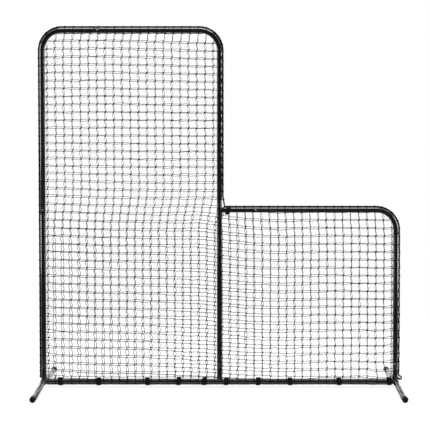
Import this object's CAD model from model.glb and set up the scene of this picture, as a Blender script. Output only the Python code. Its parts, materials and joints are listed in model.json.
import json
import math
import random

import bmesh
import bpy
from mathutils import Matrix, Vector

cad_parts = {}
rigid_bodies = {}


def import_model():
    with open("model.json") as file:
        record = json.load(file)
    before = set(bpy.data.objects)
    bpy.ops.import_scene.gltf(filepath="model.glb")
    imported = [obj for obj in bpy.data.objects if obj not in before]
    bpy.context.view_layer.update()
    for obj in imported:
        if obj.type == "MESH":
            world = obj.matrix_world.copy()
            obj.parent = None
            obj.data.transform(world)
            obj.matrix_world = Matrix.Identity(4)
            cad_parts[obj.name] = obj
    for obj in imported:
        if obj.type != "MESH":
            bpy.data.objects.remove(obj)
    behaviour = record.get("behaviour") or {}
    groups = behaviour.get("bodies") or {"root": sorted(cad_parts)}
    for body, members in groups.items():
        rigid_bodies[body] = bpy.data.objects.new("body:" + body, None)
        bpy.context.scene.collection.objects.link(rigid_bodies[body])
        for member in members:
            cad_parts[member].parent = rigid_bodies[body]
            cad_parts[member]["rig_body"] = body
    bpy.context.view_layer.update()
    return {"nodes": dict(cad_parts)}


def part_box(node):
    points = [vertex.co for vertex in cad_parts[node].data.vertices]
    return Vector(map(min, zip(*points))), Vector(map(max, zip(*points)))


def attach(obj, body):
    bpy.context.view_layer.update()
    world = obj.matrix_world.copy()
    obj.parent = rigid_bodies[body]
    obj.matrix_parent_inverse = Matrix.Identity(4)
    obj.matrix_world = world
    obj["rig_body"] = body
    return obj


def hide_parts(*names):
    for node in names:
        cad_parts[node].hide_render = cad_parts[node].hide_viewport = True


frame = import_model()
print("frame loaded")

xAxis = Vector((1, 0, 0))
yAxis = Vector((0, 1, 0))
zAxis = Vector((0, 0, 1))
fullTurn = 2 * math.pi


# Camera
cameraView = {
    "place": (0.0666, -6.398, 1.5737),
    "tilt": 88.0,  # degrees, 2 below level
    "lens": 90.56,
    "sensor": 36,
    "shift": (-0.0366, -0.1268),
    "reach": 100,
}


def addCamera():
    data = bpy.data.cameras.new("photoCamera")
    data.lens = cameraView["lens"]
    data.sensor_width = cameraView["sensor"]
    data.shift_x, data.shift_y = cameraView["shift"]
    data.clip_end = cameraView["reach"]
    camera = bpy.data.objects.new("photoCamera", data)
    camera.location = cameraView["place"]
    camera.rotation_euler = (math.radians(cameraView["tilt"]), 0, 0)
    bpy.context.scene.collection.objects.link(camera)
    bpy.context.scene.camera = camera


addCamera()
print("camera placed")


# Shared helpers for pieces
meshWork = {
    "merge": 0.000005,
    "hardAngle": 38,  # degrees between two faces from which their edge stays sharp
    "softAngle": 70,
}


def onlyVerts(geom):
    return [item for item in geom if isinstance(item, bmesh.types.BMVert)]


def mergeDoubles(bm, verts):
    bmesh.ops.remove_doubles(bm, verts=verts, dist=meshWork["merge"])


def finishMesh(name, bm, material, sharpFrom=meshWork["hardAngle"]):
    bmesh.ops.recalc_face_normals(bm, faces=bm.faces)
    mesh = bpy.data.meshes.new(name)
    bm.to_mesh(mesh)
    bm.free()
    mesh.shade_smooth()
    mesh.set_sharp_from_angle(angle=math.radians(sharpFrom))
    mesh.materials.append(material)
    piece = bpy.data.objects.new(name, mesh)
    bpy.context.scene.collection.objects.link(piece)
    return piece


def seat(piece, body, *nodes):
    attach(piece, body)
    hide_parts(*nodes)


def bakeModifiers(piece):
    # The finished shape takes the place of the mesh and its modifiers.
    bpy.context.view_layer.update()
    graph = bpy.context.evaluated_depsgraph_get()
    mesh = bpy.data.meshes.new_from_object(piece.evaluated_get(graph), depsgraph=graph)
    piece.modifiers.clear()
    piece.data = mesh


def stationMatrix(point, along, side, radius):
    # It mirrors what it places, so the normals of that are recalculated afterwards.
    along = along.normalized()
    side = (side - along * side.dot(along)).normalized()
    turn = Matrix((along.cross(side), side, along)).transposed().to_4x4()
    return Matrix.Translation(point) @ turn @ Matrix.Scale(radius, 4)


def sweep(bm, stations, sides):
    # One ring drawn from station to station, until it comes back to the first one.
    matrices = [stationMatrix(*station) for station in stations]
    made = bmesh.ops.create_circle(bm, segments=sides, radius=1, matrix=matrices[0])["verts"]
    edges = list(dict.fromkeys(edge for vert in made for edge in vert.link_edges))
    everyVert = list(made)
    for before, after in zip(matrices, matrices[1:]):
        drawn = bmesh.ops.extrude_edge_only(bm, edges=edges)["geom"]
        verts = onlyVerts(drawn)
        bmesh.ops.transform(bm, verts=verts, matrix=after @ before.inverted())
        new = set(verts)
        edges = [e for e in drawn if isinstance(e, bmesh.types.BMEdge) and set(e.verts) <= new]
        everyVert += verts
    mergeDoubles(bm, everyVert)
    return everyVert


def spinProfile(verts, bm, centre, axis, steps):
    # A chain of verts turned once round the axis.
    edges = [bm.edges.new(pair) for pair in zip(verts, verts[1:])]
    turn = {"cent": centre, "axis": axis, "angle": fullTurn, "steps": steps, "use_merge": True}
    bmesh.ops.spin(bm, geom=verts + edges, **turn)
    mergeDoubles(bm, bm.verts)


def addMeshOf(target, small):
    # A small mesh is quick to work on, so each cord and row of knots is made apart.
    mesh = bpy.data.meshes.new("part")
    small.to_mesh(mesh)
    small.free()
    target.from_mesh(mesh)
    bpy.data.meshes.remove(mesh)


def closeEnds(bm):
    edges = [edge for edge in bm.edges if edge.is_boundary]
    bmesh.ops.holes_fill(bm, edges=edges, sides=0)


def cordSkin(target, points, radius, sides, firstSide, shape=None):
    # A flat grid rolled round a line of points. Its UV holds metres along and turns round.
    count = len(points) - 1
    bm = bmesh.new()
    uv = bm.loops.layers.uv.new("UVMap")
    verts = bmesh.ops.create_grid(bm, x_segments=count, y_segments=sides, size=0.5)["verts"]
    runs, frames = [0.0], []
    across = firstSide
    for here, point in enumerate(points):
        before, after = points[max(here - 1, 0)], points[min(here + 1, count)]
        along = (after - before).normalized()
        across = (across - along * across.dot(along)).normalized()
        frames.append((point, across, along.cross(across)))
        if here:
            runs.append(runs[-1] + (point - before).length)
    for vert in verts:
        here = round((vert.co.x + 0.5) * count)
        turn = vert.co.y + 0.5
        for loop in vert.link_loops:
            loop[uv].uv = (runs[here], turn)
        point, first, second = frames[here]
        angle = fullTurn * turn
        size = radius * (shape(point, runs[here], angle) if shape else 1)
        vert.co = point + (first * math.cos(angle) + second * math.sin(angle)) * size
    mergeDoubles(bm, verts)
    closeEnds(bm)
    addMeshOf(target, bm)


def circleAngles(steps):
    return [fullTurn * step / steps for step in range(steps + 1)]


def smoothStep(value):
    value = min(max(value, 0.0), 1.0)
    return value * value * (3 - 2 * value)


def rising(value, start, run):
    return smoothStep((value - start) / run)


def falling(value, start, run):
    # 0 at the start and above, 1 a run below it.
    return smoothStep((start - value) / run)


def between(low, high, share):
    return low + (high - low) * share


# Shared helpers for materials
def setInputs(tree, made, inputs):
    # A socket is linked, anything else becomes the input's own value.
    for name, value in inputs.items():
        if isinstance(value, bpy.types.NodeSocket):
            tree.links.new(value, made.inputs[name])
        else:
            made.inputs[name].default_value = value


def node(tree, kind, place, inputs=None, **settings):
    made = tree.nodes.new(kind)
    made.location = place
    for name, value in settings.items():
        setattr(made, name, value)
    setInputs(tree, made, inputs or {})
    return made


def maths(tree, place, operation, *values, clamp=False):
    inputs = dict(enumerate(values))
    return node(tree, "ShaderNodeMath", place, inputs, operation=operation, use_clamp=clamp).outputs[0]


def mapped(tree, place, value, start, end, low=0.0, high=1.0):
    inputs = {"Value": value, "From Min": start, "From Max": end, "To Min": low, "To Max": high}
    return node(tree, "ShaderNodeMapRange", place, inputs).outputs["Result"]


def noise(tree, place, vector, scale, detail, roughness=0.5):
    inputs = {"Vector": vector, "Scale": scale, "Detail": detail, "Roughness": roughness}
    return node(tree, "ShaderNodeTexNoise", place, inputs).outputs["Fac"]


def bump(tree, place, height, depth, normal=None):
    inputs = {"Height": height, "Distance": depth, "Strength": 1.0}
    if normal is not None:
        inputs["Normal"] = normal
    return node(tree, "ShaderNodeBump", place, inputs).outputs["Normal"]


def mixColour(tree, place, factor, first, second):
    inputs = {0: factor, 6: first, 7: second}
    return node(tree, "ShaderNodeMix", place, inputs, data_type="RGBA").outputs[2]


def separated(tree, place, vector):
    return node(tree, "ShaderNodeSeparateXYZ", place, {0: vector}).outputs


# Node groups that several finishes use
groupLook = {
    "drift": (0.15, 0.42),  # from here the other colour starts, and here it is full
    "grainFiner": 4.3,
    "grainShare": 0.35,
    "rub": (0.45, 0.70),
    "dustSlope": (0.35, 1.0),
    "dustSpecks": (0.42, 0.75),
    "hairShare": 0.35,
    "hollow": (0.0, 0.55),
}


def newGroup(name, inputs, outputs):
    group = bpy.data.node_groups.new(name, "ShaderNodeTree")
    kinds = {"v": "NodeSocketVector", "f": "NodeSocketFloat", "c": "NodeSocketColor"}
    for way, table in (("INPUT", inputs), ("OUTPUT", outputs)):
        for socket, kind in table.items():
            group.interface.new_socket(socket, in_out=way, socket_type=kinds[kind])
    return group, node(group, "NodeGroupInput", (-900, 0)).outputs, node(group, "NodeGroupOutput", (700, 0))


def makeToneDrift():
    # Slow change between two colours, with a fine mottle over it.
    inputs = {"Vector": "v", "Scale": "f", "Mottle": "f", "Main": "c", "Other": "c"}
    group, given, end = newGroup("toneDrift", inputs, {"Color": "c", "Mask": "f"})
    slow = noise(group, (-650, 120), given["Vector"], given["Scale"], 4.0, 0.6)
    fine = noise(group, (-650, -160), given["Vector"], given["Mottle"], 3.0)
    both = maths(group, (-420, 0), "MULTIPLY", slow, fine)
    mask = mapped(group, (-220, 0), both, *groupLook["drift"])
    colour = mixColour(group, (120, 120), mask, given["Main"], given["Other"])
    setInputs(group, end, {"Color": colour, "Mask": mask})
    return group


def makeFineGrain():
    # Two sizes of grain as one bump.
    inputs = {"Vector": "v", "Scale": "f", "Depth": "f", "Normal": "v"}
    group, given, end = newGroup("fineGrain", inputs, {"Normal": "v"})
    coarse = noise(group, (-650, 120), given["Vector"], given["Scale"], 2.0)
    finer = maths(group, (-650, -120), "MULTIPLY", given["Scale"], groupLook["grainFiner"])
    tight = node(group, "ShaderNodeTexVoronoi", (-440, -120), {"Vector": given["Vector"], "Scale": finer})
    distance = tight.outputs["Distance"]
    both = maths(group, (-200, 0), "MULTIPLY_ADD", distance, groupLook["grainShare"], coarse)
    setInputs(group, end, {"Normal": bump(group, (150, 0), both, given["Depth"], given["Normal"])})
    return group


def makeWornEdge():
    # Rubbed spots on sharp edges, broken up by noise.
    inputs = {"Vector": "v", "Edge": "f", "From": "f", "To": "f", "Scale": "f"}
    group, given, end = newGroup("wornEdge", inputs, {"Mask": "f"})
    edge = mapped(group, (-500, 120), given["Edge"], given["From"], given["To"])
    rub = noise(group, (-650, -160), given["Vector"], given["Scale"], 5.0, 0.7)
    broken = mapped(group, (-420, -160), rub, *groupLook["rub"])
    setInputs(group, end, {"Mask": maths(group, (-100, 0), "MULTIPLY", edge, broken, clamp=True)})
    return group


def makeDustFilm():
    # Pale dust on faces that look up.
    inputs = {"Vector": "v", "Normal": "v", "Scale": "f", "Amount": "f"}
    group, given, end = newGroup("dustFilm", inputs, {"Mask": "f"})
    normal = separated(group, (-650, 120), given["Normal"])
    upward = mapped(group, (-440, 120), normal["Z"], *groupLook["dustSlope"])
    specks = noise(group, (-650, -160), given["Vector"], given["Scale"], 6.0, 0.65)
    spread = mapped(group, (-420, -160), specks, *groupLook["dustSpecks"])
    both = maths(group, (-150, 0), "MULTIPLY", upward, spread)
    setInputs(group, end, {"Mask": maths(group, (80, 0), "MULTIPLY", both, given["Amount"], clamp=True)})
    return group


def makeLaidStrands():
    # Strands that turn round a cord; its UV is metres along and turns round.
    inputs = {"UV": "v", "Lay": "f", "Strands": "f", "Fibre": "f"}
    group, given, end = newGroup("laidStrands", inputs, {"Height": "f", "Hollow": "f"})
    parts = separated(group, (-880, 120), given["UV"])
    run = maths(group, (-680, 120), "MULTIPLY", parts["X"], given["Lay"])
    phase = maths(group, (-500, 60), "MULTIPLY_ADD", parts["Y"], given["Strands"], run)
    half = maths(group, (-320, 60), "MULTIPLY", phase, math.pi)
    strand = maths(group, (20, 60), "ABSOLUTE", maths(group, (-140, 60), "SINE", half))
    hair = noise(group, (-500, -200), given["UV"], given["Fibre"], 4.0)
    height = maths(group, (220, 60), "MULTIPLY_ADD", hair, groupLook["hairShare"], strand)
    hollow = mapped(group, (220, -160), strand, *groupLook["hollow"], 1.0, 0.0)
    setInputs(group, end, {"Height": height, "Hollow": hollow})
    return group


toneDrift = makeToneDrift()
fineGrain = makeFineGrain()
wornEdge = makeWornEdge()
dustFilm = makeDustFilm()
laidStrands = makeLaidStrands()


def useGroup(tree, group, place, inputs):
    return node(tree, "ShaderNodeGroup", place, inputs, node_tree=group).outputs


def newMaterial(name):
    # With the tree and its shader come the coordinates and the geometry that a finish reads.
    material = bpy.data.materials.new(name)
    material.use_nodes = True
    tree = material.node_tree
    shader = tree.nodes["Principled BSDF"]
    shader.location = (500, 0)
    tree.nodes["Material Output"].location = (800, 0)
    coords = node(tree, "ShaderNodeTexCoord", (-1300, 0)).outputs
    shape = node(tree, "ShaderNodeNewGeometry", (-1300, -300)).outputs
    return material, tree, shader, coords, shape


# Black powder coat on the frame tube
paintLook = {
    "tone": {
        "Scale": 9.0,
        "Mottle": 260.0,
        "Main": (0.0060, 0.0062, 0.0078, 1),
        "Other": (0.0125, 0.0128, 0.0150, 1),
    },
    "wear": {"From": 0.56, "To": 0.68, "Scale": 190.0},
    "dust": {"Scale": 120.0, "Amount": 0.16},
    "peel": {"Scale": 420.0, "Depth": 0.00005},
    "bare": (0.20, 0.20, 0.21, 1),
    "dustColour": (0.16, 0.155, 0.145, 1),
    "dustRoughness": 0.9,
    "roughness": (0.15, 0.25),
}


def makePaint():
    material, tree, shader, coords, shape = newMaterial("blackPowderCoat")
    place, normal, look = coords["Object"], shape["Normal"], paintLook
    tone = useGroup(tree, toneDrift, (-700, 250), {"Vector": place, **look["tone"]})
    worn = useGroup(tree, wornEdge, (-700, 0), {"Vector": place, "Edge": shape["Pointiness"], **look["wear"]})
    dust = useGroup(tree, dustFilm, (-700, -250), {"Vector": place, "Normal": normal, **look["dust"]})
    peel = useGroup(tree, fineGrain, (-700, -500), {"Vector": place, "Normal": normal, **look["peel"]})
    rubbed = mixColour(tree, (-300, 250), worn["Mask"], tone["Color"], look["bare"])
    dusty = mixColour(tree, (-50, 200), dust["Mask"], rubbed, look["dustColour"])
    gloss = mapped(tree, (-300, 0), tone["Mask"], 0.0, 1.0, *look["roughness"])
    matt = maths(tree, (-50, -20), "MULTIPLY_ADD", dust["Mask"], look["dustRoughness"], gloss)
    finish = {"Base Color": dusty, "Roughness": matt, "Normal": peel["Normal"], "Specular IOR Level": 1.0}
    setInputs(tree, shader, finish)
    return material


# Bright zinc on the feet
zincLook = {
    "tone": {"Scale": 38.0, "Mottle": 150.0, "Main": (0.58, 0.58, 0.59, 1), "Other": (0.35, 0.35, 0.36, 1)},
    "wear": {"From": 0.44, "To": 0.36, "Scale": 70.0},
    "drawn": (1.0, 0.03, 1.0),  # lines and streaks are drawn out along the tube
    "lines": 900.0,
    "scratch": 0.00006,
    "streaks": 170.0,
    "streakRange": (0.45, 0.56),
    "streakBehind": 0.6,  # the rear halves of the feet are cleaner
    "behind": (-0.05, 0.10),
    "stain": (0.16, 0.155, 0.15, 1),
    "streak": (0.025, 0.025, 0.027, 1),
    "roughness": (0.12, 0.28),
    "roughFull": 0.6,
}


def makeZinc():
    material, tree, shader, coords, shape = newMaterial("brightZinc")
    place, look = coords["Object"], zincLook
    drawnOut = node(tree, "ShaderNodeMapping", (-1100, 0), {"Vector": place, "Scale": look["drawn"]})
    drawn = drawnOut.outputs["Vector"]
    tone = useGroup(tree, toneDrift, (-700, 250), {"Vector": place, **look["tone"]})
    worn = useGroup(tree, wornEdge, (-700, 0), {"Vector": place, "Edge": shape["Pointiness"], **look["wear"]})
    stained = mixColour(tree, (-300, 250), worn["Mask"], tone["Color"], look["stain"])
    lines = noise(tree, (-900, 0), drawn, look["lines"], 3.0)
    long = noise(tree, (-900, -450), drawn, look["streaks"], 2.0)
    dark = mapped(tree, (-500, -450), long, *look["streakRange"])
    across = separated(tree, (-900, -650), place)
    behind = mapped(tree, (-700, -650), across["Y"], *look["behind"], 1.0, look["streakBehind"])
    streak = maths(tree, (-300, -450), "MULTIPLY", dark, behind)
    streaked = mixColour(tree, (-50, 250), streak, stained, look["streak"])
    both = maths(tree, (-480, 20), "MULTIPLY", tone["Mask"], lines)
    gloss = mapped(tree, (-300, 0), both, 0.0, look["roughFull"], *look["roughness"])
    scratch = bump(tree, (100, -250), lines, look["scratch"])
    setInputs(tree, shader, {"Base Color": streaked, "Roughness": gloss, "Normal": scratch, "Metallic": 1.0})
    return material


# Moulded black end caps
capLook = {
    "tone": {
        "Scale": 30.0,
        "Mottle": 420.0,
        "Main": (0.0060, 0.0060, 0.0062, 1),
        "Other": (0.0120, 0.0120, 0.0122, 1),
    },
    "wear": {"From": 0.52, "To": 0.60, "Scale": 240.0},
    "grain": {"Scale": 1500.0, "Depth": 0.00008},
    "scuff": (0.085, 0.083, 0.080, 1),
    "roughness": (0.38, 0.55),
}


def makeCapPlastic():
    material, tree, shader, coords, shape = newMaterial("mouldedPlastic")
    place, look = coords["Object"], capLook
    tone = useGroup(tree, toneDrift, (-700, 250), {"Vector": place, **look["tone"]})
    worn = useGroup(tree, wornEdge, (-700, 0), {"Vector": place, "Edge": shape["Pointiness"], **look["wear"]})
    grain = {"Vector": place, "Normal": shape["Normal"], **look["grain"]}
    normal = useGroup(tree, fineGrain, (-700, -300), grain)["Normal"]
    scuffed = mixColour(tree, (-300, 250), worn["Mask"], tone["Color"], look["scuff"])
    gloss = mapped(tree, (-300, 0), tone["Mask"], 0.0, 1.0, *look["roughness"])
    setInputs(tree, shader, {"Base Color": scuffed, "Roughness": gloss, "Normal": normal})
    return material


# Plated snap buttons and the blued springs behind them
steelLook = {
    "platedSteel": {"Main": (0.72, 0.71, 0.69, 1), "Other": (0.55, 0.55, 0.55, 1), "roughness": (0.14, 0.30)},
    "springSteel": {"Main": (0.30, 0.31, 0.34, 1), "Other": (0.17, 0.18, 0.23, 1), "roughness": (0.28, 0.45)},
    "tone": {"Scale": 160.0, "Mottle": 900.0},
    "grain": {"Scale": 1800.0, "Depth": 0.00002},
}


def makeSteel(name):
    material, tree, shader, coords, shape = newMaterial(name)
    place, look = coords["Object"], steelLook[name]
    colours = {"Main": look["Main"], "Other": look["Other"]}
    tone = useGroup(tree, toneDrift, (-700, 250), {"Vector": place, **colours, **steelLook["tone"]})
    grain = {"Vector": place, "Normal": shape["Normal"], **steelLook["grain"]}
    normal = useGroup(tree, fineGrain, (-700, -300), grain)["Normal"]
    gloss = mapped(tree, (-300, 0), tone["Mask"], 0.0, 1.0, *look["roughness"])
    finish = {"Base Color": tone["Color"], "Roughness": gloss, "Normal": normal, "Metallic": 1.0}
    setInputs(tree, shader, finish)
    return material


# Twine of the net and the thicker border rope
fibreLook = {
    "netTwine": {
        "Main": (0.0075, 0.0075, 0.0080, 1),
        "Other": (0.017, 0.017, 0.018, 1),
        "hollow": (0.004, 0.004, 0.004, 1),
        "strands": {"Lay": 260.0, "Strands": 3.0, "Fibre": 900.0},
        "depth": 0.00035,
    },
    "borderRope": {
        "Main": (0.0045, 0.0045, 0.0050, 1),
        "Other": (0.0105, 0.0105, 0.011, 1),
        "hollow": (0.003, 0.003, 0.003, 1),
        "strands": {"Lay": 520.0, "Strands": 8.0, "Fibre": 700.0},
        "depth": 0.0005,
    },
    "tone": {"Scale": 14.0, "Mottle": 420.0},
    "dust": {"Scale": 300.0, "Amount": 0.10},
    "dustColour": (0.11, 0.108, 0.10, 1),
    "roughness": (0.62, 0.85),
    "shine": 0.08,
}


def makeFibre(name):
    material, tree, shader, coords, shape = newMaterial(name)
    place, look = coords["Object"], fibreLook[name]
    colours = {"Main": look["Main"], "Other": look["Other"]}
    tone = useGroup(tree, toneDrift, (-700, 250), {"Vector": place, **colours, **fibreLook["tone"]})
    laid = useGroup(tree, laidStrands, (-700, 0), {"UV": coords["UV"], **look["strands"]})
    film = {"Vector": place, "Normal": shape["Normal"], **fibreLook["dust"]}
    dust = useGroup(tree, dustFilm, (-700, -250), film)["Mask"]
    dark = mixColour(tree, (-300, 250), laid["Hollow"], tone["Color"], look["hollow"])
    dusty = mixColour(tree, (-50, 200), dust, dark, fibreLook["dustColour"])
    matt = mapped(tree, (-300, 0), tone["Mask"], 0.0, 1.0, *fibreLook["roughness"])
    normal = bump(tree, (100, -250), laid["Height"], look["depth"])
    finish = {"Base Color": dusty, "Roughness": matt, "Normal": normal}
    setInputs(tree, shader, {**finish, "Specular IOR Level": fibreLook["shine"]})
    return material


# Hook-and-loop webbing of the straps
webbingLook = {
    "tone": {
        "Scale": 60.0,
        "Mottle": 700.0,
        "Main": (0.0050, 0.0050, 0.0050, 1),
        "Other": (0.0125, 0.0125, 0.013, 1),
    },
    "weave": {"Scale": 1500.0 / 6.28, "Distortion": 1.5, "Detail": 2.0},  # ribs across the webbing
    "weaveShare": 0.6,
    "fuzz": 1100.0,
    "depth": 0.0004,
    "dust": {"Scale": 260.0, "Amount": 0.18},
    "dustColour": (0.12, 0.118, 0.11, 1),
    "roughness": (0.75, 0.95),
    "shine": 0.15,
    "sheen": 0.03,
}


def makeWebbing():
    material, tree, shader, coords, shape = newMaterial("loopWebbing")
    place, look = coords["Object"], webbingLook
    tone = useGroup(tree, toneDrift, (-700, 250), {"Vector": place, **look["tone"]})
    weave = {"Vector": coords["UV"], **look["weave"]}
    bands = {"wave_type": "BANDS", "bands_direction": "X"}
    ribs = node(tree, "ShaderNodeTexWave", (-900, -50), weave, **bands).outputs["Fac"]
    loops = node(tree, "ShaderNodeTexVoronoi", (-900, -350), {"Vector": place, "Scale": look["fuzz"]})
    fuzz = loops.outputs["Distance"]
    pile = maths(tree, (-600, -150), "MULTIPLY_ADD", ribs, look["weaveShare"], fuzz)
    film = {"Vector": place, "Normal": shape["Normal"], **look["dust"]}
    dust = useGroup(tree, dustFilm, (-700, -500), film)["Mask"]
    dusty = mixColour(tree, (-100, 200), dust, tone["Color"], look["dustColour"])
    matt = mapped(tree, (-300, 0), fuzz, 0.0, 1.0, *look["roughness"])
    finish = {"Base Color": dusty, "Roughness": matt, "Normal": bump(tree, (100, -250), pile, look["depth"])}
    setInputs(tree, shader, {**finish, "Specular IOR Level": look["shine"], "Sheen Weight": look["sheen"]})
    return material


paint = makePaint()
zinc = makeZinc()
capPlastic = makeCapPlastic()
buttonSteel = makeSteel("platedSteel")
springSteel = makeSteel("springSteel")
netTwine = makeFibre("netTwine")
ropeFibre = makeFibre("borderRope")
webbing = makeWebbing()
print("materials made")


# Frame tube, and where the frame comes apart, measured on the solids
tubeSize = {
    "radius": 0.0159,
    "wall": 0.0015,
    "slip": 0.0003,
    "sides": 44,
    "bendRadius": 0.118,
    "bendSteps": 22,
    "lip": 0.0004,
    "lipShare": 0.3,  # of the lip, for the middle of its rounding
    "swageRun": 0.004,
    "swageSteps": 5,
    "insert": 0.050,
    "buttonInset": 0.025,
}


def middleOf(name, axis):
    low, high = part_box(name)
    return (low[axis] + high[axis]) / 2


barZ = middleOf("left_bottom_bar", 2)
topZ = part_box("top_right_bend")[1].z - tubeSize["radius"]
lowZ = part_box("low_right_bend")[1].z - tubeSize["radius"]
leftX = middleOf("left_foot", 0)
rightX = middleOf("right_foot", 0)
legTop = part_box("left_upright")[0].z
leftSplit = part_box("top_left_bend")[0].z
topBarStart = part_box("top_bar")[0].x
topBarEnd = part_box("top_bar")[1].x
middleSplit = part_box("top_right_bend")[0].z
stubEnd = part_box("low_right_bend")[0].x
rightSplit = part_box("right_upright")[1].z
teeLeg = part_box("left_bottom_bar")[1].x
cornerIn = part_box("left_bottom_bar")[0].x
bodyOf = {name: obj["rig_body"] for name, obj in frame["nodes"].items()}


def at(x, z, y=0.0):
    return Vector((x, y, z))


def rounded(corners, radius, steps):
    # Points and directions along straight runs whose square corners are turned at this radius.
    path = [(corners[0], (corners[1] - corners[0]).normalized())]
    for before, corner, after in zip(corners, corners[1:], corners[2:]):
        enter = (corner - before).normalized()
        leave = (after - corner).normalized()
        centre = corner + (leave - enter) * radius
        for step in range(steps + 1):
            turn = math.radians(90) * step / steps
            point = centre + (enter * math.sin(turn) - leave * math.cos(turn)) * radius
            path.append((point, enter * math.cos(turn) + leave * math.sin(turn)))
    path.append((corners[-1], (corners[-1] - corners[-2]).normalized()))
    return path


def swagedEnd(mouth, along):
    # The tube necks down smoothly, then runs on as the plug.
    outer = tubeSize["radius"]
    plug = outer - tubeSize["wall"] - tubeSize["slip"]
    stations = []
    for step in range(tubeSize["swageSteps"] + 1):
        share = step / tubeSize["swageSteps"]
        point = mouth - along * (tubeSize["swageRun"] * (1 - share) * 0.5)
        stations.append((point, along, between(outer, plug, smoothStep(share))))
    stations.append((mouth + along * tubeSize["insert"], along, plug))
    return stations


def walledTube(bm, path, side, sides=tubeSize["sides"]):
    # Outer skin, rounded lip, bore and rounded lip again, as one closed sweep.
    lip, wall = tubeSize["lip"], tubeSize["wall"]
    share = tubeSize["lipShare"]
    (first, firstAlong, firstRadius), (last, lastAlong, lastRadius) = path[0], path[-1]
    stations = [
        (first, firstAlong, firstRadius - lip),
        (first + firstAlong * lip * share, firstAlong, firstRadius - lip * share),
        (first + firstAlong * lip, firstAlong, firstRadius),
    ]
    stations += path[1:-1]
    stations += [
        (last - lastAlong * lip, lastAlong, lastRadius),
        (last - lastAlong * lip * share, lastAlong, lastRadius - lip * share),
        (last, lastAlong, lastRadius - lip),
        (last, lastAlong, lastRadius - wall + lip * 0.5),
        (last - lastAlong * lip, lastAlong, lastRadius - wall),
    ]
    stations += [(point, along, radius - wall) for point, along, radius in path[-2:0:-1]]
    stations += [
        (first + firstAlong * lip, firstAlong, firstRadius - wall),
        (first, firstAlong, firstRadius - wall + lip * 0.5),
        stations[0],
    ]
    return sweep(bm, [(point, along, side, radius) for point, along, radius in stations], sides)


def turned(degrees, first, second):
    return first * math.cos(math.radians(degrees)) + second * math.sin(math.radians(degrees))


# Joints: mouth of the socket, way the plug points, way the button faces, tube of the plug and of the socket
cornerUpFacing = turned(22.5, -yAxis, -xAxis)
cornerSideFacing = turned(67.5, -yAxis, zAxis)
jointTable = {
    "left_corner_up": (at(leftX, legTop), zAxis, yAxis, "left_corner_fitting", "left_upright"),
    "left_corner_side": (at(cornerIn, barZ), xAxis, -zAxis, "left_corner_fitting", "left_bottom_bar"),
    "right_corner_up": (at(rightX, legTop), zAxis, cornerUpFacing, "right_corner_fitting", "right_upright"),
    "right_corner_side": (
        at(-cornerIn, barZ), -xAxis, cornerSideFacing, "right_corner_fitting", "right_bottom_bar"
    ),
    "tee_left": (at(teeLeg, barZ), -xAxis, -zAxis, "bottom_tee", "left_bottom_bar"),
    "tee_right": (at(-teeLeg, barZ), xAxis, -zAxis, "bottom_tee", "right_bottom_bar"),
    "tee_up": (at(0, legTop), zAxis, yAxis, "bottom_tee", "middle_upright"),
    "middle_up": (at(0, middleSplit), zAxis, yAxis, "middle_upright", "top_right_bend"),
    "middle_side": (at(stubEnd, lowZ), xAxis, -yAxis, "middle_upright", "low_right_bend"),
    "left_up": (at(leftX, leftSplit), zAxis, -yAxis, "left_upright", "top_left_bend"),
    "top_left": (at(topBarStart, topZ), xAxis, -yAxis, "top_left_bend", "top_bar"),
    "top_right": (at(topBarEnd, topZ), -xAxis, yAxis, "top_right_bend", "top_bar"),
    "low_right": (at(rightX, rightSplit), -zAxis, yAxis, "low_right_bend", "right_upright"),
}


def buttonCentre(joint):
    return joint[0] + joint[1] * tubeSize["buttonInset"]


holeSize = {"radius": 0.00505, "sides": 28, "from": 0.009, "to": 0.021}


def drillHoles(name, piece):
    # Each button's hole goes through the plug and the socket.
    bm = bmesh.new()
    radius, depth = holeSize["radius"], holeSize["to"] - holeSize["from"]
    size = {"segments": holeSize["sides"], "radius1": radius, "radius2": radius, "depth": depth}
    for joint in jointTable.values():
        if name in joint[3:]:
            facing = joint[2]
            start = stationMatrix(buttonCentre(joint) + facing * holeSize["from"], facing, joint[1], 1)
            middle = start @ Matrix.Translation((0, 0, depth / 2))
            bmesh.ops.create_cone(bm, cap_ends=True, matrix=middle, **size)
    bmesh.ops.recalc_face_normals(bm, faces=bm.faces)
    mesh = bpy.data.meshes.new("holeCutter")
    bm.to_mesh(mesh)
    bm.free()
    cutter = bpy.data.objects.new("holeCutter", mesh)
    bpy.context.scene.collection.objects.link(cutter)
    drill = piece.modifiers.new("buttonHoles", "BOOLEAN")
    drill.operation = "DIFFERENCE"
    drill.solver = "EXACT"
    drill.object = cutter
    bakeModifiers(piece)
    bpy.data.objects.remove(cutter)
    piece.data.set_sharp_from_angle(angle=math.radians(meshWork["hardAngle"]))


# Legs are welded to a round body: their first rings follow it, and a rippled bead goes round
beadSize = {
    "thickness": 0.0022,
    "share": 0.9,
    "drift": (0.85, 1.15),
    "ripples": 34,
    "ripple": 0.0005,
    "steps": 136,
    "sides": 8,
    "overLeg": 0.0004,
    "overBody": 0.0003,
    "tuck": 0.0009,  # a bead between two tubes of one size sits this far in
}
saddleSize = {"sunk": 0.001, "depth": 0.0005, "near": 0.002, "straight": 0.012}


def fitSaddle(verts, centre, along, across, bodyRadius):
    start = bodyRadius - saddleSize["sunk"]
    sideways = along.cross(across)
    for vert in verts:
        if vert.is_valid and (vert.co - centre).dot(along) < start + saddleSize["near"]:
            out = (vert.co - centre).dot(sideways)
            height = math.sqrt(max((bodyRadius - saddleSize["depth"]) ** 2 - out**2, 0.0))
            vert.co += along * (height - start)


def drilledPart(name, path, side, saddle=None):
    # One walled tube, drilled on its own before it joins the rest of its piece.
    bm = bmesh.new()
    verts = walledTube(bm, path, side)
    if saddle:
        fitSaddle(verts, *saddle)
    part = finishMesh("part", bm, paint)
    drillHoles(name, part)
    return part


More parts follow.
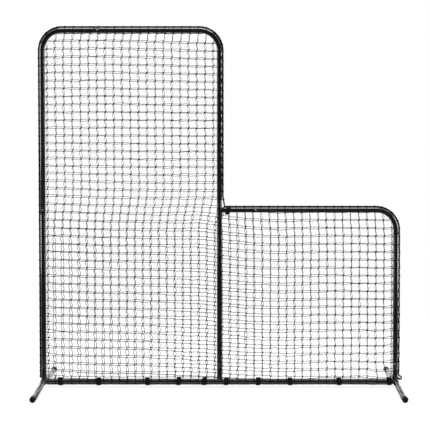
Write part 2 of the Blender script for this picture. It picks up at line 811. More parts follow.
def joinParts(name, bm, parts):
    for part in parts:
        bm.from_mesh(part.data)
        bpy.data.objects.remove(part)
    return finishMesh(name, bm, paint)


def saddleLeg(name, centre, along, across, mouth, bodyRadius):
    # A welded leg, swaged at its far end.
    start = centre + along * (bodyRadius - saddleSize["sunk"])
    straight = start + along * saddleSize["straight"]
    path = [(start, along, tubeSize["radius"]), (straight, along, tubeSize["radius"])]
    path += swagedEnd(mouth, along)
    return drilledPart(name, path, across, saddle=(centre, along, across, bodyRadius))


def weldBead(bm, centre, along, across, bodyRadius, legRadius, seed):
    # The leg points along, and the axis of the round body is across.
    wobble = random.Random(seed)
    ripples, steps = beadSize["ripples"], beadSize["steps"]
    drift = [wobble.uniform(*beadSize["drift"]) for _ in range(ripples)]
    sideways = along.cross(across)
    rim = legRadius + beadSize["overLeg"]
    points = []
    for step in range(steps):
        turn = fullTurn * step / steps
        out, run = rim * math.cos(turn), rim * math.sin(turn)
        lift = math.sqrt(max((bodyRadius + beadSize["overBody"]) ** 2 - out**2, 0.0))
        points.append((centre + sideways * out + across * run + along * lift, turn))
    stations = []
    for here, (point, turn) in enumerate(points):
        tangent = points[(here + 1) % steps][0] - points[here - 1][0]
        beat = ripples * turn
        size = beadSize["thickness"] * drift[int(beat / fullTurn) % ripples] * beadSize["share"]
        size += beadSize["ripple"] * abs(math.sin(beat / 2))
        stations.append((point, tangent, along, size))
    stations.append(stations[0])
    sweep(bm, stations, beadSize["sides"])


# Corners of each bent or straight tube, and whether its far end is swaged
tubeRuns = {
    "left_upright": ([at(leftX, legTop), at(leftX, leftSplit)], True),
    "top_left_bend": ([at(leftX, leftSplit), at(leftX, topZ), at(topBarStart, topZ)], True),
    "top_bar": ([at(topBarStart, topZ), at(topBarEnd, topZ)], False),
    "top_right_bend": ([at(0, middleSplit), at(0, topZ), at(topBarEnd, topZ)], True),
    "low_right_bend": ([at(stubEnd, lowZ), at(rightX, lowZ), at(rightX, rightSplit)], True),
    "right_upright": ([at(rightX, rightSplit), at(rightX, legTop)], False),
    "left_bottom_bar": ([at(cornerIn, barZ), at(teeLeg, barZ)], False),
    "right_bottom_bar": ([at(-teeLeg, barZ), at(-cornerIn, barZ)], False),
}


def frameTube(name):
    corners, plugged = tubeRuns[name]
    route = rounded(corners, tubeSize["bendRadius"], tubeSize["bendSteps"])
    path = [(point, along, tubeSize["radius"]) for point, along in route]
    if plugged:
        mouth, along, _ = path.pop()
        path += swagedEnd(mouth, along)
    piece = drilledPart(name, path, yAxis)
    piece.name = name + "_skin"
    return piece


sleeveSize = {"length": 0.090, "wall": 0.002, "radius": 0.0182, "sides": 56}


def cornerFitting(name, side):
    # Sleeve for the foot, with one leg up and one along the bar, both welded.
    bm = bmesh.new()
    centre = at(side * rightX, barZ)
    half = yAxis * (sleeveSize["length"] / 2)
    front, rear = centre - half, centre + half
    lip = tubeSize["lip"]
    outer = sleeveSize["radius"]
    inner = outer - sleeveSize["wall"]
    inFront, inRear = front + yAxis * lip, rear - yAxis * lip
    marks = [(front, outer - lip), (inFront, outer), (inRear, outer), (rear, outer - lip)]
    marks += [(rear, inner + lip), (inRear, inner), (inFront, inner), (front, inner + lip), marks[0]]
    sweep(bm, [(point, yAxis, xAxis, radius) for point, radius in marks], sleeveSize["sides"])
    legs = []
    ways = ((zAxis, at(centre.x, legTop), 3), (xAxis * -side, at(side * -cornerIn, barZ), 8))
    for along, mouth, seed in ways:
        legs.append(saddleLeg(name, centre, along, yAxis, mouth, outer))
        weldBead(bm, centre, along, yAxis, outer, tubeSize["radius"], seed + side)
    return joinParts(name + "_skin", bm, legs)


def bottomTee():
    bm = bmesh.new()
    radius = tubeSize["radius"]
    left = [(point, xAxis, size) for point, _, size in swagedEnd(at(teeLeg, barZ), -xAxis)][::-1]
    bar = drilledPart("bottom_tee", left + swagedEnd(at(-teeLeg, barZ), xAxis), yAxis)
    leg = saddleLeg("bottom_tee", at(0, barZ), zAxis, xAxis, at(0, legTop), radius)
    weldBead(bm, at(0, barZ), zAxis, xAxis, radius, radius - beadSize["tuck"], 21)
    return joinParts("bottom_tee_skin", bm, [bar, leg])


def middlePost():
    bm = bmesh.new()
    radius = tubeSize["radius"]
    path = [(at(0, legTop), zAxis, radius)] + swagedEnd(at(0, middleSplit), zAxis)
    post = drilledPart("middle_upright", path, yAxis)
    stub = saddleLeg("middle_upright", at(0, lowZ), xAxis, zAxis, at(stubEnd, lowZ), radius)
    weldBead(bm, at(0, lowZ), xAxis, zAxis, radius, radius - beadSize["tuck"], 34)
    return joinParts("middle_upright_skin", bm, [post, stub])


def buildFrame():
    pieces = {name: frameTube(name) for name in tubeRuns}
    pieces["left_corner_fitting"] = cornerFitting("left_corner_fitting", -1)
    pieces["right_corner_fitting"] = cornerFitting("right_corner_fitting", 1)
    pieces["bottom_tee"] = bottomTee()
    pieces["middle_upright"] = middlePost()
    for name, piece in pieces.items():
        seat(piece, bodyOf[name], name)


buildFrame()
print("frame tubes built")


# Feet: bent tubes through the corner sleeves, with moulded caps on their ends
footSize = {
    "length": 0.762,
    "arch": 0.0157,
    "level": 0.110,  # level stretch in the sleeve
    "endLevel": 0.056,
    "ease": 0.008,
    "easeShares": (-1, -0.5, 0, 0.5, 1),
    "sides": 48,
    "capEnd": 0.0033,
    "probe": 0.001,
}


def footHeight(y):
    # Level in the sleeve, down a slope, and level again under the end, with eased bends.
    high, low = footSize["level"] / 2, footSize["length"] / 2 - footSize["endLevel"]
    ease = footSize["ease"]

    def down(past):
        past = max(past + ease, 0.0)
        return past * past / (4 * ease) if past < 2 * ease else past - ease

    slope = footSize["arch"] / (low - high)
    return barZ - slope * (down(abs(y) - high) - down(abs(y) - low))


def footPath(x):
    ends = footSize["length"] / 2 - footSize["capEnd"]
    high, low = footSize["level"] / 2, footSize["length"] / 2 - footSize["endLevel"]
    ease, probe = footSize["ease"], footSize["probe"]
    marks = [-ends, -low - 2 * ease]
    for kink in (-low, -high, high, low):
        marks += [kink + ease * share for share in footSize["easeShares"]]
    marks += [low + 2 * ease, ends]
    path = []
    for y in marks:
        along = Vector((0, 2 * probe, footHeight(y + probe) - footHeight(y - probe))).normalized()
        path.append((Vector((x, y, footHeight(y))), along, tubeSize["radius"]))
    return path


def buildFeet():
    for name, x in (("left_foot", leftX), ("right_foot", rightX)):
        bm = bmesh.new()
        walledTube(bm, footPath(x), xAxis, footSize["sides"])
        seat(finishMesh(name + "_skin", bm, zinc), bodyOf[name], name)


capSize = {
    "radius": 0.0175,
    "depth": 0.030,
    "endWall": 0.003,
    "round": 0.0025,
    "roundSteps": 6,
    "bore": 0.0162,
    "lip": (0.0006, 0.0008),  # inner and outer edge of the mouth
    "groove": (0.0040, 0.0060),  # from the mouth
    "grooveDepth": 0.0004,
    "ring": 0.0105,  # raised ring on the end face
    "ringWidth": 0.0018,
    "ringLift": 0.0007,
    "ringEdge": 0.0003,
    "pip": (0.0016, 0.0022),  # sunk middle, inner and outer radius
    "pipDepth": 0.0005,
    "steps": 56,
}


def capProfile():
    # Distance in from the end face, and radius, from the bore's middle out and round to the end's middle.
    radius, depth, bore, soft = capSize["radius"], capSize["depth"], capSize["bore"], capSize["round"]
    ring, width, lift, edge = capSize["ring"], capSize["ringWidth"], capSize["ringLift"], capSize["ringEdge"]
    innerLip, outerLip = capSize["lip"]
    cut = capSize["grooveDepth"]
    near, far = (depth - place for place in capSize["groove"])
    points = [(capSize["endWall"], 0.0), (capSize["endWall"], bore), (depth - innerLip, bore)]
    points += [(depth, bore + innerLip), (depth, radius - outerLip), (depth - outerLip, radius)]
    points += [(near, radius), (near - cut, radius - cut), (far + cut, radius - cut), (far, radius)]
    for step in range(capSize["roundSteps"] + 1):
        turn = math.radians(90) * step / capSize["roundSteps"]
        points.append((soft * (1 - math.sin(turn)) + lift, radius - soft * (1 - math.cos(turn))))
    points += [(lift, ring + width), (lift * 0.3, ring + width - edge)]
    points += [(0.0, ring + width * 0.6), (0.0, ring + width * 0.3), (lift * 0.3, ring + edge), (lift, ring)]
    inner, outer = capSize["pip"]
    sunk = lift + capSize["pipDepth"]
    return points + [(lift, outer), (sunk, inner), (sunk, 0.0)]


def buildCap(name, x, side):
    low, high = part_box(name)
    middle = Vector((x, 0, high.z - capSize["radius"]))
    end = high.y if side > 0 else low.y
    bm = bmesh.new()
    verts = [bm.verts.new(Vector((x, end - side * into, middle.z + radius))) for into, radius in capProfile()]
    spinProfile(verts, bm, middle, yAxis, capSize["steps"])
    geom = list(bm.verts) + list(bm.edges) + list(bm.faces)
    floor = {"plane_co": Vector(), "plane_no": -zAxis, "clear_outer": True}
    cut = bmesh.ops.bisect_plane(bm, geom=geom, **floor)["geom_cut"]
    sole = [item for item in cut if isinstance(item, bmesh.types.BMEdge)]
    bmesh.ops.contextual_create(bm, geom=sole)
    seat(finishMesh(name + "_skin", bm, capPlastic), bodyOf[name], name)


buildFeet()
for sideName, footX in (("left", leftX), ("right", rightX)):
    buildCap(sideName + "_front_cap", footX, -1)
    buildCap(sideName + "_rear_cap", footX, 1)
print("feet and caps built")


# Snap buttons: domed pins with a flange in the bore
buttonSize = {
    "radius": 0.00475,
    "flange": 0.0059,
    "flangeDepth": 0.001,
    "flangeEdge": 0.0002,
    "tip": 0.0191,
    "tipShare": 0.30,  # of the radius that stays flat
    "tipRise": 0.0001,
    "dome": 0.0022,
    "domeSteps": 8,
    "steps": 36,
}


def buttonProfile(under):
    # Height above the tube's centre line and radius, from below the flange to the tip.
    radius, dome, tip, steps = (buttonSize[key] for key in ("radius", "dome", "tip", "domeSteps"))
    flange, edge, flat = buttonSize["flange"], buttonSize["flangeEdge"], buttonSize["tipShare"]
    top = under + buttonSize["flangeDepth"]
    profile = [(under, 0.0), (under, flange - edge), (under + edge, flange), (top - edge, flange)]
    profile += [(top, flange - edge), (top, radius)]
    for step in range(steps):
        turn = math.radians(90) * step / steps
        profile.append((tip - dome * (1 - math.sin(turn)), radius * (flat + (1 - flat) * math.cos(turn))))
    return profile + [(tip, radius * flat), (tip + buttonSize["tipRise"], 0.0)]


def buildButtons():
    for name, joint in jointTable.items():
        nodeName = name + "_button"
        side, facing, centre = joint[1], joint[2], buttonCentre(joint)
        vertices = frame["nodes"][nodeName].data.vertices
        under = min((vertex.co - centre).dot(facing) for vertex in vertices)
        bm = bmesh.new()
        profile = buttonProfile(under)
        verts = [bm.verts.new(centre + facing * height + side * size) for height, size in profile]
        spinProfile(verts, bm, centre, facing, buttonSize["steps"])
        seat(finishMesh(nodeName + "_skin", bm, buttonSteel), bodyOf[nodeName], nodeName)


def finishSprings():
    for name in jointTable:
        mesh = frame["nodes"][name + "_spring"].data
        mesh.materials.clear()
        mesh.materials.append(springSteel)


buildButtons()
finishSprings()
print("buttons built")


# Net: columns are counted from the left upright, rows from the top bar
netSize = {
    "twine": 0.0015,
    "edgeTwine": 0.0021,
    "sides": 6,
    "lift": 0.0017,  # twine's middle above the tube
    "mesh": 0.047,
    "perMesh": 5,
    "foldStep": 0.0055,
    "foldEnd": math.radians(74),
    "underBar": math.radians(56),
    "overBar": 0.032,  # up to here above the low bar the net folds over it
    "edgeIn": 0.0215,  # from a tube's middle to where the edge cord and the side cords end
    "buttonRoom": 0.0072,
    "jitter": 0.0011,
    "jitterDeep": 0.0012,
    "tightJitter": 0.3,  # share of the jitter along the tubes
    "bow": 0.0010,
    "bowDeep": 0.6,
    "edgeBow": 0.2,
    "swing": 0.0032,  # each upright length leaves its knot to the left and comes back from the right
    "lowSwing": 0.6,
    "swingBeat": (0.6, 1.4),
    "swingFrom": 0.035,
    "rowSwing": 0.0008,
    "walk": 0.001,
    "mostWalks": 400,
    "spread": 1.0056,  # the rear layer hangs a little wider than the front
}
lastRow, edgeRow, notchRow = 42, 44, 21
lastColumn, notchColumn = 41, 21
# A pair of numbers is where a change starts and the length over which it runs
columnShape = {
    "leftIn": 0.0275,
    "rightIn": 0.0235,
    "topFirst": -0.9685,
    "drift": (0.0101, 1.90, 0.75),
    "upperLast": -0.0359,
    "upperColumns": 19,
    "topShift": (0.011, 2.05, 0.05),
    "gather": (1.19, 0.26),
    "lowerFirst": -0.9743,
    "lowerPitch": 0.04731,
    "firstShift": (0.0036, 4, 3),
    "rightPitch": 0.0482,
    "rightFrom": 31,
    "lowTopShift": (0.006, 0.90, 0.1),
    "postShift": (0.0052, 29, 7),
    "postColumn": (0.022, 1.00, 0.06),
    "lastColumns": {40: 0.012, 41: 0.030},
    "lastFall": (0.17, 0.13),
}
# How far apart sideways the layers hang, and by how much more in three places
layerShape = {
    "tall": 0.0056,
    "low": 0.0044,
    "left": (0.007, (0.95, 0.1), (5, 3)),
    "foot": (0.006, (0.47, 0.15), (14, 4), (1, 2)),
    "post": (0.0045, (1.0, 0.1), (25.5, 2), (20, 2)),
}
knotShape = {
    "size": 0.0044,
    "turns": ((0.7, 1.35), (-0.8, 1.2)),  # lean and stretch of each turn of twine
    "lean": 0.3,
    "flat": (0.85, 0.72),
    "edgeShare": 0.62,
    "edgeFrom": -0.016,
}

# Rows and places of the tables: at each place the heights of the rows, and how far the layers hang apart
tableRows = (0, 10, 20, 22, 30, 40, 42)
tablePlaces = (-0.9615, -0.6759, -0.3924, -0.1088, 0.0802, 0.1747, 0.3637, 0.5528, 0.6473, 1.0600)
tableHeights = (
    (2.0545, 1.5882, 1.1415, 1.0468, 0.6685, 0.1936, 0.1025),
    (2.0570, 1.5902, 1.1325, 1.0379, 0.6604, 0.1886, 0.0894),
    (2.0506, 1.5885, 1.1275, 1.0355, 0.6584, 0.1844, 0.0892),
    (2.0407, 1.5866, 1.1288, 1.0376, 0.6530, 0.1747, 0.0808),
    (2.0395, 1.5859, 1.1261, 1.0103, 0.6299, 0.1608, 0.0687),
    (2.0393, 1.5858, 1.1078, 1.0004, 0.6213, 0.1547, 0.0627),
    (2.0405, 1.5863, 1.0966, 0.9945, 0.6168, 0.1498, 0.0578),
    (2.0403, 1.5861, 1.0959, 0.9985, 0.6214, 0.1534, 0.0609),
    (2.0402, 1.5860, 1.0959, 0.9993, 0.6230, 0.1568, 0.0654),
    (2.0470, 1.5856, 1.0955, 0.9959, 0.6208, 0.1575, 0.0660),
)
tableGaps = (
    (0.009, 0.007, 0.010, 0.007, 0.006, 0.009, 0.009),
    (0.008, 0.007, 0.009, 0.007, 0.009, 0.008, 0.011),
    (0.010, 0.006, 0.010, 0.013, 0.010, 0.012, 0.012),
    (0.008, 0.005, 0.012, 0.018, 0.019, 0.024, 0.026),
    (0.008, 0.008, 0.011, 0.014, 0.018, 0.022, 0.022),
    (0.008, 0.008, 0.011, 0.011, 0.014, 0.020, 0.020),
    (0.008, 0.008, 0.010, 0.010, 0.012, 0.018, 0.020),
    (0.008, 0.008, 0.010, 0.010, 0.010, 0.011, 0.011),
    (0.006, 0.006, 0.007, 0.007, 0.007, 0.007, 0.008),
    (0.005, 0.005, 0.007, 0.007, 0.006, 0.006, 0.007),
)
rowTable = tuple(zip(tablePlaces, tableHeights, tableGaps))
rowShape = {
    "topIn": 0.0185,
    "guess": (-0.98, 0.0475),  # about where the first column hangs, and the pitch
    "cornerSag": (0.010, 0.2, 0.1),
}
foldRadius = tubeSize["radius"] + netSize["lift"]
edgeFlatZ = barZ - foldRadius * netSize["underBar"]


def rowHeight(row, x, side):
    # Between the table's places, then between its rows. The rear layer hangs higher than the front.
    x = min(max(x, rowTable[0][0]), rowTable[-1][0])
    for (x0, firstHeights, firstGaps), (x1, secondHeights, secondGaps) in zip(rowTable, rowTable[1:]):
        if x <= x1:
            break
    share = (x - x0) / (x1 - x0)
    share = (smoothStep(share) + share) / 2
    heights = [between(a, b, share) for a, b in zip(firstHeights, secondHeights)]
    gaps = [between(a, b, share) for a, b in zip(firstGaps, secondGaps)]
    heights = [height + side * gap / 2 for height, gap in zip(heights, gaps)]
    if row < 0:
        return topZ - rowShape["topIn"]
    if row > lastRow:
        return between(heights[-1], edgeFlatZ, (row - lastRow) / (edgeRow - lastRow))
    for (r0, h0), (r1, h1) in zip(zip(tableRows, heights), zip(tableRows[1:], heights[1:])):
        if row <= r1:
            return between(h0, h1, (row - r0) / (r1 - r0))


def lowColumn(column, z, x):
    # Right of the middle upright, below the notch.
    amount, start, run = columnShape["lowTopShift"]
    x -= amount * rising(z, start, run)
    amount, start, run = columnShape["postShift"]
    x -= amount * falling(column, start, run)
    if column == notchColumn:
        amount, start, run = columnShape["postColumn"]
        x += amount * rising(z, start, run)
    return x + columnShape["lastColumns"].get(column, 0.0) * falling(z, *columnShape["lastFall"])


def columnPlace(column, z):
    # Left of the middle upright the columns of the upper part gather to meet those of the lower part.
    shape = columnShape
    if column < 0:
        return leftX + shape["leftIn"]
    if column > lastColumn:
        return rightX - shape["rightIn"]
    lower = shape["lowerFirst"] + shape["lowerPitch"] * min(column, shape["rightFrom"])
    lower += shape["rightPitch"] * max(column - shape["rightFrom"], 0)
    if column >= notchColumn:
        return lowColumn(column, z, lower)
    amount, start, run = shape["drift"]
    top = shape["topFirst"] + amount * min(max(start - z, 0.0), run)
    upper = top + (shape["upperLast"] - top) * column / shape["upperColumns"]
    amount, start, run = shape["firstShift"]
    lower -= amount * falling(column, start, run)
    amount, start, run = shape["topShift"]
    return between(upper, lower, falling(z, *shape["gather"])) + amount * rising(z, start, run)


def layerShift(column, z):
    apart = layerShape["tall"] if column < notchColumn else layerShape["low"]
    amount, below, leftOf = layerShape["left"]
    apart += amount * falling(z, *below) * falling(column, *leftOf)
    for place in ("foot", "post"):
        amount, below, leftOf, rightOf = layerShape[place]
        apart += amount * falling(z, *below) * falling(column, *leftOf) * rising(column, *rightOf)
    return apart


def beyondTube(point):
    # How far a flat net point lies past the centre line of its tube, and which way is out.
    radius = tubeSize["bendRadius"]
    finds = [(barZ - point.z, -zAxis)]
    over = lowZ + netSize["overBar"]
    if point.z < over and point.x > 0.0:
        core = at(min(point.x, rightX - radius), min(point.z, lowZ - radius))
    elif point.z > over:
        core = at(min(max(point.x, leftX + radius), -radius), min(point.z, topZ - radius))
    else:
        core = at(max(point.x, leftX + radius), min(point.z, topZ - radius))
    out = at(point.x, point.z) - core
    if out.length > 0.001:
        finds.append((out.length - radius, out.normalized()))
    return max(finds, key=lambda find: find[0])


def fold(point, side):
    # Bends the flat net round the tube towards the border rope.
    past, out = beyondTube(point)
    if past <= 0:
        return at(point.x, point.z, side * (foldRadius + point.y))
    angle = past / foldRadius
    flat = at(point.x, point.z) - out * past
    forward = side * (foldRadius * math.cos(angle) + point.y)
    return flat + out * (foldRadius * math.sin(angle)) + yAxis * forward


def besideButtons(point, side):
    # Twine slips off a button's dome and lies beside it.
    room = netSize["buttonRoom"]
    for joint in jointTable.values():
        if joint[2].y * side > 0.5:
            centre = buttonCentre(joint)
            apart = at(point.x - centre.x, point.z - centre.z)
            if apart.length < room:
                apart = (apart.normalized() if apart.length > 0.0001 else xAxis) * room
                return Vector((centre.x + apart.x, point.y, centre.z + apart.z))
    return point


def ropeEnd(start, direction):
    # Walks out from a knot until the twine reaches the border rope.
    past = foldRadius * netSize["foldEnd"]
    point = start.copy()
    for _ in range(netSize["mostWalks"]):
        if beyondTube(point)[0] >= past:
            break
        point += direction * netSize["walk"]
    return point


def twineLine(knots, wander, bow, swing):
    # Points along one cord through its knots, each length between them a little bent.
    line = [knots[0]]
    mesh = netSize["mesh"]
    for first, second in zip(knots, knots[1:]):
        run = second - first
        sideways = Vector((-run.z, 0, run.x)).normalized()
        size = wander.gauss(0, bow) * min(run.length / mesh, 1)
        deep = wander.gauss(0, bow * netSize["bowDeep"]) * min(run.length / mesh, 1)
        beat = wander.uniform(*netSize["swingBeat"]) * (1 if run.length > netSize["swingFrom"] else 0)
        count = max(1, round(netSize["perMesh"] * run.length / mesh))
        for step in range(1, count + 1):
            share = step / count
            swell = math.sin(math.pi * share)
            turn = swing * beat * math.sin(fullTurn * share)
            line.append(first + run * share + sideways * (size * swell - turn) + yAxis * (deep * swell))
    return line


def foldedLine(line, side):
    # Finer points where the cord goes round a tube.
    points = []
    for first, second in zip(line, line[1:]):
        near = max(beyondTube(first)[0], beyondTube(second)[0]) > 0
        parts = max(1, math.ceil((second - first).length / netSize["foldStep"])) if near else 1
        for part in range(parts):
            points.append(first + (second - first) * (part / parts))
    points.append(line[-1])
    return [fold(besideButtons(point, side), side) for point in points]


def crossing(row, column, side, free):
    # Where a row and a column of one layer meet. The rear layer is spread about the photo's viewpoint.
    first, pitch = rowShape["guess"]
    x = columnPlace(column, rowHeight(row, first + pitch * column, side))
    z = rowHeight(row, x, side)
    x = columnPlace(column, z)
    if free:
        x += side * layerShift(column, z) / 2
        if side > 0:
            eye = cameraView["place"]
            x = eye[0] + (x - eye[0]) * netSize["spread"]
            z = eye[2] + (z - eye[2]) * netSize["spread"]
    amount, start, run = rowShape["cornerSag"]
    if column in columnShape["lastColumns"] or column > lastColumn:
        z -= amount * falling(z, start, run)
    return x, z


def layerKnots(side, wander):
    # Every crossing of the layer, with its own small wander.
    places = {}
    deep = netSize["jitterDeep"]
    for row in range(-1, edgeRow + 1):
        for column in range(-1, lastColumn + 2):
            if row < notchRow and column >= notchColumn:
                continue
            free = 0 <= column <= lastColumn and 0 <= row <= lastRow
            x, z = crossing(row, column, side, free)
            loose = netSize["jitter"] * (1.0 if free else netSize["tightJitter"])
            shifts = wander.gauss(0, loose), wander.gauss(0, deep), wander.gauss(0, loose)
            places[row, column] = Vector((x + shifts[0], shifts[1], z + shifts[2]))
    return places


# Size of the twine where the net is pulled tight at the top, at the lower left and at the right
twineFit = {
    "upright": (0.84, 1.10, 0.88),
    "level": (0.94, 1.05, 0.95),
    "right": (-0.1, 0.7),
    "top": (0.90, 0.25),
}


def uprightFit(place, run, angle):
    return fitAt(place, *twineFit["upright"])


def levelFit(place, run, angle):
    return fitAt(place, *twineFit["level"])


def fitAt(place, top, left, right):
    lower = between(left, right, rising(place.x, *twineFit["right"]))
    return between(lower, top, rising(place.z, *twineFit["top"])) if place.x < 0 else lower


def addKnot(bm, place, side, wander):
    # A knot is two small turns of twine pulled tight across each other.
    edge = beyondTube(place)[0] > knotShape["edgeFrom"]
    size = knotShape["size"] * (knotShape["edgeShare"] if edge else 1.0)
    centre = Matrix.Translation(fold(place, side))
    deep, flat = knotShape["flat"]
    for lean, stretch in knotShape["turns"]:
        turn = Matrix.Rotation(lean + wander.uniform(-knotShape["lean"], knotShape["lean"]), 4, "Y")
        scale = Matrix.Diagonal((size * stretch, size * deep, size * flat, 1))
        bmesh.ops.create_icosphere(bm, subdivisions=1, radius=1, matrix=centre @ turn @ scale)


def rowKnots(places, row, tall):
    # Knots of one row, the ends that go to the rope, and which of these are hitched to it.
    edge, above = row == edgeRow, row < notchRow
    if tall:
        columns = range(0 if edge else -1, notchColumn if above else notchColumn + 1)
    else:
        columns = range(notchColumn, lastColumn + (1 if edge else 2))
    knots = [places[row, column] for column in columns]
    ends = []
    if edge:
        x, way = (leftX + netSize["edgeIn"], 1) if tall else (rightX - netSize["edgeIn"], -1)
        ends.append((at(x, edgeFlatZ), way))
    else:
        if tall:
            ends.append((ropeEnd(knots[0], -xAxis), 1))
        if above or not tall:
            ends.append((ropeEnd(knots[-1], xAxis), -1))
    for end, way in ends:
        knots = [end] + knots if way > 0 else knots + [end]
    return knots, [] if edge else [end for end, _ in ends]


def columnKnots(places, column, first):
    last = edgeRow if 0 <= column <= lastColumn else lastRow + 1
    knots = [places[row, column] for row in range(first, last + 1)]
    knots.insert(0, ropeEnd(knots[0], zAxis))
    if last < edgeRow:
        knots[-1] = knots[-1].copy()
        knots[-1].z = max(knots[-1].z, barZ + netSize["edgeIn"])
    return knots


def buildNet(layer, side, seed):
    wander = random.Random(seed)
    places = layerKnots(side, wander)
    bow, swing, sides = netSize["bow"], netSize["swing"], netSize["sides"]
    hitches = []
    for panel in ("tall", "low"):
        bm = bmesh.new()
        bm.loops.layers.uv.new("UVMap")
        tall = panel == "tall"
        firstRow = -1 if tall else notchRow
        for row in range(firstRow, edgeRow + 1):
            edge = row == edgeRow
            knots, tied = rowKnots(places, row, tall)
            hitches += tied
            line = twineLine(knots, wander, bow * (netSize["edgeBow"] if edge else 1), netSize["rowSwing"])
            radius = netSize["edgeTwine"] if edge else netSize["twine"]
            cordSkin(bm, foldedLine(line, side), radius, sides, zAxis, levelFit)
        for column in (range(-1, notchColumn) if tall else range(notchColumn, lastColumn + 2)):
            knots = columnKnots(places, column, firstRow)
            hitches.append(knots[0])
            line = twineLine(knots, wander, bow, swing * (1.0 if tall else netSize["lowSwing"]))
            cordSkin(bm, foldedLine(line, side), netSize["twine"], sides, xAxis, uprightFit)
        for row in range(-1, edgeRow):
            knotRow = bmesh.new()
            for column in range(-1, lastColumn + 2):
                if (row, column) in places and (column < notchColumn) == tall:
                    addKnot(knotRow, besideButtons(places[row, column], side), side, wander)
            addMeshOf(bm, knotRow)
        name = f"net_{layer}_{panel}"
        piece = finishMesh(name + "_twine", bm, netTwine, meshWork["softAngle"])
        seat(piece, bodyOf[name], name)
    return [fold(hitch, side) for hitch in hitches]


hitches = buildNet("front", -1, 11)
buildNet("rear", 1, 47)
print("net built")


# Border rope with its end knot, end loop and the turns of twine that hold the net to it
ropeSize = {
    "radius": 0.0044,
    "sides": 12,
    "step": 0.0042,
    "layLength": 0.026,
    "strand": (0.90, 0.12, 1.5),  # least size, swell of a strand, and half the number of strands
    "out": 0.0204,
    "bendSteps": 18,
    "startZ": 0.0607,
    "notchRise": 0.083,
    "cornerReach": 0.030,
    "strapStart": 0.037,
    "endZ": 0.084,
    "loop": 0.009,
    "loopShift": 0.003,
    "loopAside": (0.004, -0.009),
    "loopStart": 125.0,
    "loopTurn": 318.0,
    "loopSteps": 32,
    "loopFront": 0.009,
    "loopFrontSteps": 28,
    "wave": 0.0008,
    "waveBeats": (95, 11),
    "waveFrom": (0.09, 0.05),
    "waveTo": (0.93, 0.1),
    "stopper": ((0.001, 0.0042, 0.5), (0.005, 0.0045, -0.5), (0.003, 0.0040, 1.3)),  # lift, size and lean
    "stopperCord": (0.0026, 8, 20),  # radius, sides and points of a turn
    "hitchShifts": (-0.0013, 0.0013),
    "hitchOut": 0.0054,
    "hitchCord": (0.0014, 5, 8),
}


def ropeRoute():
    size, out = ropeSize, ropeSize["out"]
    bend, steps = tubeSize["bendRadius"] + out, size["bendSteps"]
    first = [at(leftX - out, size["startZ"]), at(leftX - out, topZ + out)]
    first += [at(out, topZ + out), at(out, lowZ + size["notchRise"])]
    last = [at(size["strapStart"], lowZ + out), at(rightX + out, lowZ + out), at(rightX + out, size["endZ"])]
    points = [point for point, _ in rounded(first, bend, steps)]
    points.append(at(size["cornerReach"], lowZ + out))
    points += [point for point, _ in rounded(last, bend, steps)]
    aside, down = size["loopAside"]
    centre = at(rightX + out + size["loopShift"] + aside, size["endZ"] - 2 * size["loop"] + down)
    for step in range(size["loopSteps"] + 1):
        turn = math.radians(size["loopStart"] - size["loopTurn"] * step / size["loopSteps"])
        forward = -size["loopFront"] * smoothStep(step / size["loopFrontSteps"])
        points.append(centre + at(size["loop"] * math.cos(turn), size["loop"] * math.sin(turn), forward))
    return points


def evenPoints(points, step):
    # The same route with a point at every step.
    kept, spare = [points[0]], 0.0
    for first, second in zip(points, points[1:]):
        run = (second - first).length
        place = step - spare
        while place <= run:
            kept.append(first + (second - first) * (place / run))
            place += step
        spare = run - (place - step)
    kept.append(points[-1])
    return kept


def swayRope(line):
    # Down the right side the rope runs in small waves.
    (low, _), (high, _) = ropeSize["waveFrom"], ropeSize["waveTo"]
    main, slow = ropeSize["waveBeats"]
    for point in line:
        if point.x > rightX and low < point.z < high:
            sway = falling(point.z, *ropeSize["waveTo"]) * rising(point.z, *ropeSize["waveFrom"])
            point.x += sway * ropeSize["wave"] * (1 + math.sin(main * point.z + 2 * math.sin(slow * point.z)))


def laidShape(place, run, angle):
    least, swell, strands = ropeSize["strand"]
    return least + swell * abs(math.cos(strands * (angle - fullTurn * run / ropeSize["layLength"])))


def addStopper(bm, start):
    radius, sides, steps = ropeSize["stopperCord"]
    for lift, size, lean in ropeSize["stopper"]:
        turn = Matrix.Translation(start + zAxis * lift) @ Matrix.Rotation(lean, 4, "Y")
        ring = [turn @ Vector((size * math.cos(a), size * math.sin(a), 0)) for a in circleAngles(steps)]
        cordSkin(bm, ring, radius, sides, turn.to_3x3() @ zAxis)


def addHitch(bm, line, hitch):
    # Two turns of twine round the rope where a cord of the net ends.
    radius, sides, steps = ropeSize["hitchCord"]
    near = min(line, key=lambda point: (at(point.x, point.z) - at(hitch.x, hitch.z)).length_squared)
    here = line.index(near)
    along = (line[min(here + 1, len(line) - 1)] - line[max(here - 1, 0)]).normalized()
    out = along.cross(yAxis)
    for shift in ropeSize["hitchShifts"]:
        ring = []
        for turn in circleAngles(steps):
            aside = along * (shift * (1 + 0.5 * math.cos(turn)))
            ring.append(near + aside + (out * math.cos(turn) + yAxis * math.sin(turn)) * ropeSize["hitchOut"])
        cordSkin(bm, ring, radius, sides, along)


def buildRope():
    bm = bmesh.new()
    bm.loops.layers.uv.new("UVMap")
    line = evenPoints(ropeRoute(), ropeSize["step"])
    swayRope(line)
    cordSkin(bm, line, ropeSize["radius"], ropeSize["sides"], yAxis, laidShape)
    addStopper(bm, line[0])
    for hitch in hitches:
        addHitch(bm, line, hitch)
    piece = finishMesh("border_rope_laid", bm, ropeFibre, meshWork["softAngle"])
    seat(piece, bodyOf["border_rope"], "border_rope")


buildRope()
print("rope built")


